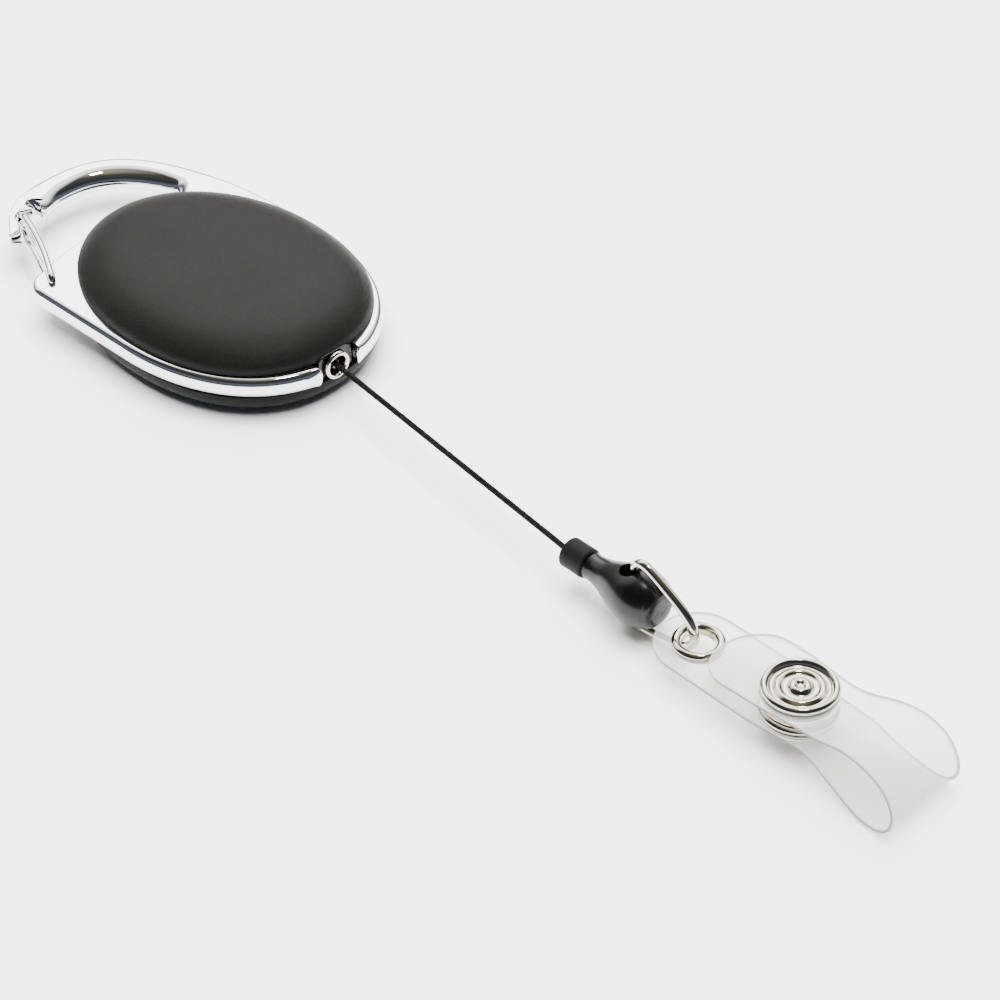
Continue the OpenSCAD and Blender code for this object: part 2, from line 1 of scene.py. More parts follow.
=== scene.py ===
import bmesh
import bpy
import numpy as np
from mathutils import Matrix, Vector


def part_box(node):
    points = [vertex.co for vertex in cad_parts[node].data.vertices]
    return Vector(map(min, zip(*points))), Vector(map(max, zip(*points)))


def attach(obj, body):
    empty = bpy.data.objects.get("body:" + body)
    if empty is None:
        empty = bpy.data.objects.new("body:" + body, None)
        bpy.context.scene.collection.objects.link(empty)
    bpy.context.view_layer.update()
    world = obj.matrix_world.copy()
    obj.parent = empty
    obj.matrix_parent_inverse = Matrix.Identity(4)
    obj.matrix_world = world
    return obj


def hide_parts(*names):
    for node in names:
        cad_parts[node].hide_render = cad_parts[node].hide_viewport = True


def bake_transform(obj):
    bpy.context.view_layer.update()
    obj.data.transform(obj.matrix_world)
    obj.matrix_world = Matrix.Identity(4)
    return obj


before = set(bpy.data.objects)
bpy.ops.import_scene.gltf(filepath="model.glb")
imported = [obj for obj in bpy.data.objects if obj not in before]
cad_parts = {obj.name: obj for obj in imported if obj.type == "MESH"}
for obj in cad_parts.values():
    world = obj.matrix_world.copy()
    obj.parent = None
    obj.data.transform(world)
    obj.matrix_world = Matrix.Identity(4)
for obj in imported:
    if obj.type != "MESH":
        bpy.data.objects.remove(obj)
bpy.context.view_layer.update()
mm = 0.001    # shapes are worked out in millimetres and stored in metres


def boxOf(node):
    return [np.array(corner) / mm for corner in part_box(node)]


def middleOf(node):
    low, high = boxOf(node)
    return (low + high) / 2


# camera

camera = {
    "target": (55.06, 0.19, 0.0),    # on the floor, in the middle of the view
    "distance": 394.7,
    "azimuth": 45.2,
    "elevation": 40.0,
    "lens": 108, "sensor": 36,
    "nearest": 0.01, "farthest": 20,    # metres
}


def addCamera(settings):
    data = bpy.data.cameras.new("camera")
    data.lens = settings["lens"]
    data.sensor_width = settings["sensor"]
    data.clip_start = settings["nearest"]
    data.clip_end = settings["farthest"]
    made = bpy.data.objects.new("camera", data)
    bpy.context.scene.collection.objects.link(made)
    turn, lift = np.radians(settings["azimuth"]), np.radians(settings["elevation"])
    back = Vector((np.sin(turn) * np.cos(lift), -np.cos(turn) * np.cos(lift), np.sin(lift)))
    made.location = Vector(settings["target"]) * mm + back * settings["distance"] * mm
    made.rotation_euler = (-back).to_track_quat("-Z", "Y").to_euler()
    bpy.context.scene.camera = made


addCamera(camera)


# surfaces, worked out as grids of points

def shaded(mesh, crease):
    # smooth, apart from the edges that bend more than crease degrees
    mesh.shade_smooth()
    mesh.set_sharp_from_angle(angle=np.radians(crease))


def facedOut(mesh):
    work = bmesh.new()
    work.from_mesh(mesh)
    bmesh.ops.recalc_face_normals(work, faces=work.faces)
    work.to_mesh(mesh)
    work.free()


def surface(name, points, along=None, ring=False, crease=40):
    # points[i, j] is point j of section i; a section closes on itself, and ring joins the last to the first
    rows, columns = points.shape[:2]
    index = np.arange(rows * columns).reshape(rows, columns)
    lower = index if ring else index[:-1]
    upper = np.roll(index, -1, 0) if ring else index[1:]
    quads = np.stack([lower, np.roll(lower, -1, 1), np.roll(upper, -1, 1), upper], -1).reshape(-1, 4)
    caps = [] if ring else [index[0][::-1].tolist(), index[-1].tolist()]
    mesh = bpy.data.meshes.new(name)
    mesh.from_pydata((points.reshape(-1, 3) * mm).tolist(), [], quads.tolist() + caps)
    # the UV map holds the share of the way round and the distance along, in millimetres
    along = np.arange(rows, dtype=float) if along is None else np.asarray(along, float)
    far = np.append(along[1:], along[-1] + (along[-1] - along[-2])) if ring else along[1:]
    near = along if ring else along[:-1]
    share = np.arange(columns) / columns
    u = np.stack([share, share + 1 / columns, share + 1 / columns, share], -1)
    u = np.broadcast_to(u, (len(near), columns, 4))
    v = np.stack([near, near, far, far], -1)[:, None, :]
    v = np.broadcast_to(v, (len(near), columns, 4))
    flat = np.stack([u, v], -1).reshape(-1, 2)
    flat = np.concatenate([flat, np.zeros((columns * len(caps), 2))])
    layer = mesh.uv_layers.new(name="UVMap")
    layer.data.foreach_set("uv", flat.astype(np.float32).ravel())
    facedOut(mesh)
    shaded(mesh, crease)
    made = bpy.data.objects.new(name, mesh)
    bpy.context.scene.collection.objects.link(made)
    return made


def through(points, steps, closed=False):
    # Catmull-Rom curve through the points: each span blends its four nearest points with cubic weights
    p = np.asarray(points, float)
    if closed:
        p = np.concatenate([p[-1:], p, p[:2]])
    else:
        p = np.concatenate([2 * p[:1] - p[1:2], p, 2 * p[-1:] - p[-2:-1]])
    t = (np.arange(steps) / steps)[None, :, None]
    a, b, c, d = (p[k:len(p) - 3 + k, None, :] for k in range(4))
    curve = b + 0.5 * t * (c - a + t * (2 * a - 5 * b + 4 * c - d + t * (3 * (b - c) + d - a)))
    curve = curve.reshape(-1, p.shape[1])
    return curve if closed else np.concatenate([curve, p[-2:-1]])


def guided(points, steps, closed=False):
    # uniform cubic B-spline: the curve is drawn towards its points and bends evenly
    p = np.asarray(points, float)
    p = np.concatenate([p[-1:], p, p[:2]]) if closed else np.concatenate([p[:1], p, p[-1:]])
    t = (np.arange(steps) / steps)[None, :, None]
    a, b, c, d = (p[k:len(p) - 3 + k, None, :] for k in range(4))
    curve = ((1 - t) ** 3 * a + (3 * t ** 3 - 6 * t ** 2 + 4) * b
             + (-3 * t ** 3 + 3 * t ** 2 + 3 * t + 1) * c + t ** 3 * d) / 6
    return curve.reshape(-1, p.shape[1])


def averaged(values, width, closed=True):
    # Gaussian average along a line, width in points; an open line keeps its ends
    reach = int(4 * width) + 1
    weight = np.exp(-0.5 * (np.arange(-reach, reach + 1) / width) ** 2)
    weight /= weight.sum()
    if closed:
        before, after = values[-reach:], values[:reach]
    else:
        before, after = 2 * values[:1] - values[reach:0:-1], 2 * values[-1:] - values[-2:-reach - 2:-1]
    padded = np.concatenate([before, values, after])
    return np.stack([np.convolve(padded[:, k], weight, "valid") for k in range(values.shape[1])], -1)


def travelled(line):
    # the distance along a line at each of its points
    return np.concatenate([[0], np.cumsum(np.linalg.norm(np.diff(line, axis=0), axis=1))])


def evenly(line, spacing):
    # the same line with its points a fixed distance apart
    run = travelled(line)
    places = np.linspace(0, run[-1], max(2, int(round(run[-1] / spacing)) + 1))
    return np.stack([np.interp(places, run, line[:, k]) for k in range(line.shape[1])], -1)


def fullTurn(count):
    # even angles round a whole circle, in radians
    return np.arange(count) * 2 * np.pi / count


leastRadius = 0.004    # a profile's point on its axis keeps this radius


def turned(name, profile, centre, axis="z", sides=96, ring=False, crease=40):
    # a profile of (radius, height) points turned about an axis through centre
    profile = np.asarray(profile, float)
    angle = fullTurn(sides)
    radius = np.maximum(profile[:, 0], leastRadius)[:, None]
    height = np.broadcast_to(profile[:, 1][:, None], (len(profile), sides))
    first, second = radius * np.cos(angle), radius * np.sin(angle)
    parts = (first, second, height) if axis == "z" else (height, first, second)
    return surface(name, np.stack(parts, -1) + np.asarray(centre), travelled(profile), ring, crease)


def tube(name, route, radius, side, sides=24, closed=False, crease=50):
    # a round section carried along a route; side is a direction square to the route all the way
    route = np.asarray(route, float)
    ahead = np.roll(route, -1, 0) - np.roll(route, 1, 0)
    if not closed:
        ahead[0], ahead[-1] = route[1] - route[0], route[-1] - route[-2]
    ahead /= np.linalg.norm(ahead, axis=1)[:, None]
    up = np.cross(ahead, side)
    up /= np.linalg.norm(up, axis=1)[:, None]
    across = np.cross(up, ahead)
    angle = fullTurn(sides)
    radius = np.broadcast_to(radius, (len(route), sides))[:, :, None]
    section = np.cos(angle)[None, :, None] * across[:, None] + np.sin(angle)[None, :, None] * up[:, None]
    return surface(name, route[:, None] + radius * section, travelled(route), closed, crease)


def changed(piece, *modifiers):
    # adds the modifiers, given as (type, settings), and keeps their result as the mesh
    for kind, settings in modifiers:
        added = piece.modifiers.new(kind.lower(), kind)
        for key, value in settings.items():
            setattr(added, key, value)
    bpy.context.view_layer.update()
    result = bpy.data.meshes.new_from_object(piece.evaluated_get(bpy.context.evaluated_depsgraph_get()))
    piece.modifiers.clear()
    piece.data = result
    return piece


def cut(piece, cutter):
    changed(piece, ("BOOLEAN", {"object": cutter, "operation": "DIFFERENCE", "solver": "EXACT"}))
    bpy.data.objects.remove(cutter)
    return piece


# finishes

class Signal:
    # one output in a node tree; arithmetic on it adds Math nodes
    def __init__(self, nodes, socket):
        self.nodes, self.socket = nodes, socket

    def maths(self, operation, first, second):
        return self.nodes.node("ShaderNodeMath", {"operation": operation}, {0: first, 1: second})

    def __add__(self, other):
        return self.maths("ADD", self, other)

    def __radd__(self, other):
        return self.maths("ADD", other, self)

    def __sub__(self, other):
        return self.maths("SUBTRACT", self, other)

    def __mul__(self, other):
        return self.maths("MULTIPLY", self, other)

    def __rmul__(self, other):
        return self.maths("MULTIPLY", other, self)

    def __pow__(self, other):
        return self.maths("POWER", self, other)

    def __gt__(self, other):
        return self.maths("GREATER_THAN", self, other)

    def __abs__(self):
        return self.maths("ABSOLUTE", self, 0.0)


class Nodes:
    # the node tree of a material or of the world
    def __init__(self, owner):
        owner.use_nodes = True
        self.tree = owner.node_tree
        self.tree.nodes.clear()

    def join(self, value, socket):
        if isinstance(value, Signal):
            self.tree.links.new(value.socket, socket)
        elif isinstance(value, tuple) and len(value) == 3 and socket.type == "RGBA":
            socket.default_value = (*value, 1.0)
        else:
            socket.default_value = value

    def node(self, kind, settings=None, values=None, output=0):
        made = self.tree.nodes.new(kind)
        for key, value in (settings or {}).items():
            if key == "stops":
                for k, (place, shade) in enumerate(value):
                    stop = made.color_ramp.elements[k] if k < 2 else made.color_ramp.elements.new(place)
                    stop.position, stop.color = place, (*shade, 1.0)
            else:
                setattr(made, key, value)
        for key, value in (values or {}).items():
            self.join(value, made.inputs[key])
        return Signal(self, made.outputs[output])

    def place(self, scale=(1, 1, 1)):
        # where a point is on the object, in metres times scale
        where = self.node("ShaderNodeTexCoord", output="Object")
        return self.node("ShaderNodeMapping", {}, {"Vector": where, "Scale": scale})

    def noise(self, size, detail=2.0, scale=(1, 1, 1)):
        # smooth noise from 0 to 1 with features about size millimetres across
        return self.node("ShaderNodeTexNoise", {}, {"Vector": self.place(scale), "Scale": 1 / (size * mm),
                                                    "Detail": detail, "Roughness": 0.55})

    def wave(self, value):
        return self.node("ShaderNodeMath", {"operation": "SINE"}, {0: value})

    def mix(self, share, first, second):
        return self.node("ShaderNodeMix", {"data_type": "RGBA"}, {0: share, 6: first, 7: second}, 2)

    def bump(self, height, depth, strength=1.0):
        # depth is in millimetres
        values = {"Height": height, "Distance": depth * mm, "Strength": strength}
        return self.node("ShaderNodeBump", {}, values)


class Finish(Nodes):
    # a material: one Principled shader with its constants, and the signals that feed the rest
    def __init__(self, name, constants):
        self.material = bpy.data.materials.new(name)
        super().__init__(self.material)
        output = self.tree.nodes.new("ShaderNodeOutputMaterial")
        self.shader = self.tree.nodes.new("ShaderNodeBsdfPrincipled")
        self.tree.links.new(self.shader.outputs[0], output.inputs[0])
        for socket, value in constants.items():
            self.join(value, self.shader.inputs[socket])

    def flat(self, part):
        # part 0 of the UV map is the share of the way round or across, part 1 is the distance along
        where = self.node("ShaderNodeTexCoord", output="UV")
        return self.node("ShaderNodeSeparateXYZ", {}, {0: where}, part)

    def feed(self, **signals):
        for socket, value in signals.items():
            self.join(value, self.shader.inputs[socket.replace("_", " ")])
        return self.material


def satinBlack():
    # plastic with a fine moulded grain
    made = Finish("satinBlack", {"Specular IOR Level": 0.12})
    grain, cloud = made.noise(0.2, 4.0), made.noise(9.0)
    return made.feed(Base_Color=made.mix(grain, (0.0016, 0.0015, 0.0012), (0.0075, 0.007, 0.0057)),
                     Roughness=0.36 + 0.14 * grain + 0.06 * cloud,
                     Normal=made.bump(grain, 0.05, 0.7))


def shadedRearBlack():
    # the covers' black plastic with a darker base colour: painted shade for the rear cover, which lies under
    # the chrome band's overhang
    made = Finish("shadedRearBlack", {"Specular IOR Level": 0.08})
    grain, cloud = made.noise(0.2, 4.0), made.noise(5.0)
    return made.feed(Base_Color=made.mix(grain, (0.001, 0.001, 0.001), (0.003, 0.003, 0.0029)),
                     Roughness=0.3 + 0.1 * grain + 0.05 * cloud,
                     Normal=made.bump(grain, 0.03, 0.6))


def recessBlack():
    made = Finish("recessBlack", {"Base Color": (0.003, 0.003, 0.003, 1), "Specular IOR Level": 0.25})
    smear = made.noise(1.5)
    return made.feed(Roughness=0.12 + 0.14 * smear, Normal=made.bump(made.noise(0.3), 0.004, 0.4))


def chrome(name, shade, polish, wave):
    made = Finish(name, {"Metallic": 1.0})
    smear, scratch = made.noise(5.0, 4.0), made.noise(0.5, 2.0, (1, 14, 1))
    dull = tuple(0.93 * c for c in shade)
    return made.feed(Base_Color=made.mix(smear, shade, dull),
                     Roughness=polish + 0.05 * smear * smear + 0.02 * (scratch > 0.66),
                     Normal=made.bump(made.noise(3.2), wave, 0.5))


def turnedSteel(name, shade):
    made = Finish(name, {"Metallic": 1.0})
    line = made.noise(0.12, 2.0, (0.05, 0.05, 1))
    return made.feed(Base_Color=made.mix(line, shade, tuple(0.7 * c for c in shade)),
                     Roughness=0.24 + 0.2 * line, Normal=made.bump(line, 0.01, 0.5))


def mouldedPlastic(name, shade):
    made = Finish(name, {})
    grain, cloud = made.noise(0.25), made.noise(4.0)
    return made.feed(Base_Color=made.mix(cloud, shade, tuple(0.88 * c for c in shade)),
                     Roughness=0.42 + 0.16 * grain, Normal=made.bump(grain, 0.012, 0.5))


weave = {
    "yarns": 4,    # each way round
    "twist": 5.2,    # radians of a yarn's wave for each millimetre of the cord
    "depth": 0.06,
}


def braid():
    # two sets of yarns wind round the cord in opposite hands
    made = Finish("braid", {"Specular IOR Level": 0.15})
    turn, run = made.flat(0) * (2 * np.pi * weave["yarns"]), made.flat(1) * weave["twist"]
    left, right = abs(made.wave(turn + run)), abs(made.wave(turn - run))
    yarn = made.node("ShaderNodeMath", {"operation": "MAXIMUM"}, {0: left, 1: right})
    fleck = made.noise(0.22, 3.0)
    pale = (fleck > 0.62) * yarn
    return made.feed(Base_Color=made.mix(pale, (0.0012, 0.0012, 0.0012), (0.03, 0.03, 0.03)),
                     Roughness=0.62 + 0.2 * fleck,
                     Normal=made.bump(yarn + 0.3 * fleck, 0.05, 0.8))


def mattBlack():
    made = Finish("mattBlack", {"Specular IOR Level": 0.15})
    grain = made.noise(0.2, 3.0)
    return made.feed(Base_Color=made.mix(grain, (0.002, 0.002, 0.002), (0.006, 0.006, 0.006)),
                     Roughness=0.5 + 0.16 * grain, Normal=made.bump(grain, 0.015, 0.6))


def glossBlack():
    made = Finish("glossBlack", {"Specular IOR Level": 0.35})
    grain, cloud = made.noise(0.3, 2.0), made.noise(2.5, 3.0)
    return made.feed(Base_Color=made.mix(cloud, (0.001, 0.001, 0.0009), (0.0022, 0.0022, 0.002)),
                     Roughness=0.2 + 0.1 * cloud, Normal=made.bump(grain, 0.004, 0.5))


def clearVinyl():
    # see-through in the middle of the strip; its cut edges gather light and look greyer, and that grey is
    # painted shade: a darker, more opaque rim in the colour and the alpha
    made = Finish("clearVinyl", {"IOR": 1.5})
    across = abs(made.flat(0) * 2.0 - 1.0)    # 0 along the middle, 1 at both edges
    paintedEdgeShade, shoulder = across ** 44.0, across ** 9.0
    cloud, speck = made.noise(9.0, 3.0), made.noise(0.35, 2.0)
    shade = made.mix(paintedEdgeShade, (0.56, 0.565, 0.55), (0.09, 0.09, 0.09))
    return made.feed(Base_Color=shade, Roughness=0.1 + 0.12 * cloud,
                     Alpha=0.2 + 0.08 * cloud + 0.1 * shoulder + 0.55 * paintedEdgeShade,
                     Normal=made.bump(cloud + 0.06 * speck, 0.08, 0.5))


finishes = {
    "cover": satinBlack(),
    "rear": shadedRearBlack(),
    "recess": recessBlack(),
    "frame": chrome("brightChrome", (0.9, 0.9, 0.91), 0.035, 0.006),
    "gate": chrome("gateChrome", (0.86, 0.86, 0.88), 0.05, 0.003),
    "nickel": chrome("warmNickel", (0.66, 0.61, 0.52), 0.07, 0.006),
    "arbor": turnedSteel("turnedSteel", (0.62, 0.62, 0.61)),
    "spring": turnedSteel("springSteel", (0.3, 0.33, 0.4)),
    "spool": mouldedPlastic("spoolPlastic", (0.72, 0.72, 0.7)),
    "washer": mouldedPlastic("nylon", (0.8, 0.79, 0.72)),
    "cord": braid(),
    "collar": mattBlack(),
    "bulb": glossBlack(),
    "strap": clearVinyl(),
}
print("finishes made:", len(finishes))


def fitted(piece, finish, slot, body, *nodes):
    # gives a piece its finish and its body, and hides the CAD nodes that it stands for
    piece.data.materials.clear()
    piece.data.materials.append(finishes[finish])
    if body:
        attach(piece, body)
    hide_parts(*nodes)
    return piece


# the pull cord

midHeight = middleOf("outlet_eyelet")[2]
collarLow, collarHigh = boxOf("collar")
bulbLow, bulbHigh = boxOf("bulb")
endLine = (bulbLow[1] + bulbHigh[1]) / 2    # the collar, bulb, link and strap lie on this line

cord = {
    "radius": 0.4,
    "outletFace": 23.8,    # where the cord leaves the case
    "leadRadius": 15.65,    # it leaves the coil on a tangent to this circle
    "leadIn": (22.2, 0.62),    # and touches the side of the outlet here
    "intoEnd": 4.9,    # how far it runs into the collar and bulb
    "spacing": 0.12, "sides": 24,
}


def cordRoute(settings):
    # along a tangent from the coil, round the side of the outlet, then straight into the collar and bulb
    leadIn = np.array(settings["leadIn"])
    reach = np.linalg.norm(leadIn)
    angle = np.arctan2(leadIn[1], leadIn[0]) + np.arccos(settings["leadRadius"] / reach)
    start = settings["leadRadius"] * np.array([np.cos(angle), np.sin(angle)])
    outlet = np.array([settings["outletFace"], 0.0])
    collar = np.array([collarLow[0], endLine])
    end = collar + np.array([settings["intoEnd"], 0.0])
    bend, middle = 0.55 * leadIn + 0.45 * outlet, 0.5 * collar + 0.5 * end
    coarse = np.concatenate([np.linspace(start, leadIn, 8)[:-1], [bend],
                             np.linspace(outlet, collar, 16), [middle, end]])
    return np.column_stack([coarse, np.full(len(coarse), midHeight)])


def makeCord(settings):
    # the radius dips between the yarns, where the waves of both hands are low
    points = cordRoute(settings)
    route = evenly(through(points, 12), settings["spacing"])
    turn = weave["yarns"] * fullTurn(settings["sides"])[None, :]
    run = weave["twist"] * travelled(route)[:, None]
    yarn = np.maximum(np.abs(np.sin(turn + run)), np.abs(np.sin(turn - run)))
    radius = settings["radius"] - weave["depth"] * (1 - yarn)
    made = tube("cord", route, radius, (0, 0, 1), settings["sides"], False, 80)
    fitted(made, "cord", "cord_black", None, "pull_cord")
    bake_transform(made)
    return made


makeCord(cord)
print("cord made")


# the two covers and the outlet

def eggLine(angle, size, inset):
    # two half superellipses: |x/a|^n + |y/b|^n = 1, with its own a and n to the right and to the left
    right, left, half, powerRight, powerLeft = size
    c, s = np.cos(angle), np.sin(angle)
    power = 2 / np.where(c >= 0, powerRight, powerLeft)
    reach = np.where(c >= 0, right, left) - inset
    x = reach * np.sign(c) * np.abs(c) ** power
    y = (half - inset) * np.sign(s) * np.abs(s) ** power
    return np.stack([x, y], -1)


def shell(name, size, levels, steps=8, points=256):
    # the egg outline, pulled in by an inset that follows a smooth curve of the height
    levels = through(levels, steps)
    angle = fullTurn(points)
    rings = [np.column_stack([eggLine(angle, size, inset), np.full(points, height)])
             for height, inset in levels]
    return surface(name, np.array(rings), travelled(levels))


frontCover = {
    "size": (23.2, 23.1, 17.9, 2.25, 2.0),    # right, left, half width, and the two powers
    "levels": [(7.02, 0.9), (7.02, 0.06), (7.3, 0.0), (7.8, 0.06), (8.4, 0.36), (9.0, 0.95), (9.6, 1.75),
               (10.15, 2.85), (10.55, 4.1), (10.85, 5.8), (11.05, 8.0), (11.16, 11.0), (11.2, 15.0)],
}
rearCover = {
    "size": (24.0, 23.7, 18.5, 2.25, 2.0),
    "levels": [(0.0, 14.0), (0.0, 4.4), (0.1, 3.6), (0.5, 2.35), (1.2, 1.3), (2.0, 0.5), (2.9, 0.06),
               (3.6, 0.0), (3.98, 0.1), (3.98, 1.2)],
}
outletWall = {
    "front": 23.42, "back": 22.2, "halfWidth": 3.08, "halfHeight": 2.2, "bore": 1.77, "edge": 0.25,
    "power": 5, "points": 128,
}


def makeOutletWall(settings):
    # a plate across the outlet: its outline is a superellipse, its hole a circle
    angle, power = fullTurn(settings["points"]), 2 / settings["power"]
    c, s = np.cos(angle), np.sin(angle)
    outline = np.stack([settings["halfWidth"] * np.sign(c) * np.abs(c) ** power,
                        settings["halfHeight"] * np.sign(s) * np.abs(s) ** power], -1)
    hole = settings["bore"] * np.stack([c, s], -1)
    front, back, edge = settings["front"], settings["back"], settings["edge"]
    # share of the way from the hole to the outline, and place along X
    section = [(0.0, front - 0.12), (0.05, front), (0.3, front), (1 - edge / 3, front),
               (1 - edge / 12, front - 0.07), (1.0, front - edge), (1.0, back), (0.0, back)]
    rings = [np.column_stack([np.full(len(angle), x), *(hole + share * (outline - hole)).T])
             for share, x in section]
    return surface("outletWall", np.array(rings) + np.array([0, 0, midHeight]), None, True, 30)


fitted(shell("frontCover", **frontCover), "cover", "cover_black", "reel", "front_cover")
fitted(shell("rearCover", **rearCover), "rear", "cover_black", "reel", "rear_cover")
fitted(makeOutletWall(outletWall), "recess", "cover_black", "reel", "rear_cover")
ringProfile = [(1.42, 0.3), (1.4, 1.4), (1.44, 1.7), (1.58, 1.95), (1.8, 2.03), (2.02, 1.93), (2.14, 1.7),
               (2.1, 1.45), (1.92, 1.3), (1.74, 1.2), (1.73, 0.6), (1.73, 0.05), (1.5, 0.05)]
ringBack = (boxOf("outlet_eyelet")[0][0], 0, midHeight)
outletRing = turned("outletRing", through(ringProfile, 5, True), ringBack, "x", 96, True, 60)
fitted(outletRing, "nickel", "nickel", "reel", "outlet_eyelet")
print("case made")


# the carabiner frame

gate = {
    "radius": 0.55, "pivot": (-16.84, -16.8), "tip": (-33.12, -9.68), "high": 7.75, "low": 3.25,
    "bend": 2.25,    # radius of the bend at the tip
    "turn": 0.8, "depth": 1.55,    # radius and depth of the ends that go into the frame
    "bow": 0.6,
}
carabiner = {
    "size": (25.0, 38.8, 19.2, 2.15, 2.5),
    "low": 4.0, "high": 7.0,
    "hookWidth": 4.6, "hookEnd": -26.6, "noseWidth": 2.1, "noseEnd": -30.0, "noseStep": -6.4,
    # the notch: what stays of the nose behind it, its two ends along Y, and its radius about the gate's pivot
    "notchWall": 1.35, "notchAt": (-10.6, -7.3), "tipSweep": 18.65,
    "corner": (-25.34, 9.16), "cornerRadius": 2.9, "cornerTurn": (62, 2),
    "plateEdgeCentre": 26.54, "plateEdgeRadius": 49.5, "plateEdge": (8.4, -15.4),
    "lobe": (-16.94, -16.4), "lobeRadius": 3.35, "lobeTurn": (188, 271),
    "bandStart": 270.54, "gap": 3.15, "gapDepth": 21.4,
    # how far the rounded edge rolls in from above on each stretch, and from below where that differs
    "roll": {"band": 1.0, "outerHook": 1.4, "outerNose": 0.5, "nose": 0.75, "notch": 0.3, "hook": 2.9,
             "corner": 2.6, "plate": 0.6, "lobe": 0.9, "outlet": 0.45, "under": 0.5},
    "hookStart": -18, "hookFull": -24, "noseStart": -4.5, "noseFull": -7,    # along X, and along Y
    "lowMeet": 0.75,    # the hook's roll meets the one below it this far above the underside
    "spacing": 0.2, "rings": 31,
    # lengths over which the corners, the depths of the rolls and their directions are averaged
    "softening": 0.4, "blending": 1.3, "easing": 1.1,
}


def eggAngleAt(size, inset, x):
    # the angle at which the left half of the outline reaches x
    return np.arccos((abs(x) / (size[1] - inset)) ** (size[4] / 2))


def eggAngleBeside(size, inset, y):
    # the angle at which the left half of the outline reaches y, to either side
    return np.arcsin((abs(y) / (size[2] - inset)) ** (size[4] / 2))


def eggBack(size, inset, y):
    # how far back the left half of the outline is at a given y
    right, left, half, powerRight, powerLeft = size
    return -(left - inset) * (1 - np.abs(y / (half - inset)) ** powerLeft) ** (1 / powerLeft)


def arc(centre, radius, degrees, count):
    # points on a circle from the first angle to the second
    bend = np.radians(np.linspace(*degrees, count))
    return np.array(centre) + radius * np.stack([np.cos(bend), np.sin(bend)], -1)


def noseLine(settings):
    # the inner edge of the nose, with a notch for the gate's tip that follows its sweep round the pivot
    size, nose = settings["size"], settings["noseWidth"]
    ends = (eggAngleAt(size, nose, settings["noseEnd"]), eggAngleBeside(size, nose, settings["noseStep"]))
    line = eggLine(np.pi + np.linspace(*ends, 60), size, nose)
    first, last = settings["notchAt"]
    inNotch = (line[:, 1] > first) & (line[:, 1] < last)
    away = line[inNotch, 1] - gate["pivot"][1]
    sweep = gate["pivot"][0] - np.sqrt(settings["tipSweep"] ** 2 - away ** 2)
    line[inNotch, 0] = np.maximum(eggBack(size, settings["notchWall"], line[inNotch, 1]), sweep)
    return line, inNotch


def outerRoll(line, settings):
    # the rounding is deeper along the hook, and shallower again along its nose
    roll = settings["roll"]
    onHook = np.interp(-line[:, 0], [-settings["hookStart"], -settings["hookFull"]], [0, 1])
    onNose = np.interp(-line[:, 1], [-settings["noseStart"], -settings["noseFull"]], [0, 1])
    hook = roll["outerHook"] + (roll["outerNose"] - roll["outerHook"]) * onNose
    return roll["band"] + (hook - roll["band"]) * onHook


def frameLine(settings):
    # the whole edge of the frame, counter-clockwise, in pieces
    size, hook, gap, roll = settings["size"], settings["hookWidth"], settings["gap"], settings["roll"]
    start = np.arcsin((gap / size[2]) ** (size[3] / 2))
    outer = eggLine(np.linspace(start, np.pi + eggAngleAt(size, 0, settings["noseEnd"]), 500), size, 0)
    nose, inNotch = noseLine(settings)
    inner = eggLine(np.linspace(np.pi + eggAngleBeside(size, hook, settings["noseStep"]),
                                np.pi - eggAngleAt(size, hook, settings["hookEnd"]), 300), size, hook)
    corner = arc(settings["corner"], settings["cornerRadius"], settings["cornerTurn"], 20)
    side = np.linspace(*settings["plateEdge"], 80)
    back = np.sqrt(settings["plateEdgeRadius"] ** 2 - side ** 2)
    plate = np.stack([settings["plateEdgeCentre"] - back, side], -1)
    lobe = arc(settings["lobe"], settings["lobeRadius"], settings["lobeTurn"], 30)
    band = eggLine(np.linspace(np.radians(settings["bandStart"]), 2 * np.pi - start, 220), size, 0)
    outlet = np.array([(settings["gapDepth"], -gap), (settings["gapDepth"], gap)])
    outerDepth = outerRoll(outer, settings)
    noseDepth = np.where(inNotch, roll["notch"], roll["nose"])
    # points, how far the top and the bottom roll in, and the height where the two rolls meet
    middle, low = (settings["low"] + settings["high"]) / 2, settings["low"] + settings["lowMeet"]
    plain = [(outer, outerDepth), (nose, noseDepth), (plate, roll["plate"]), (lobe, roll["lobe"]),
             (band, roll["band"]), (outlet, roll["outlet"])]
    even = [(points, depth, depth, middle) for points, depth in plain]
    deep = [(inner, roll["hook"], roll["under"], low), (corner, roll["corner"], roll["under"], low)]
    return even[:2] + deep + even[2:]


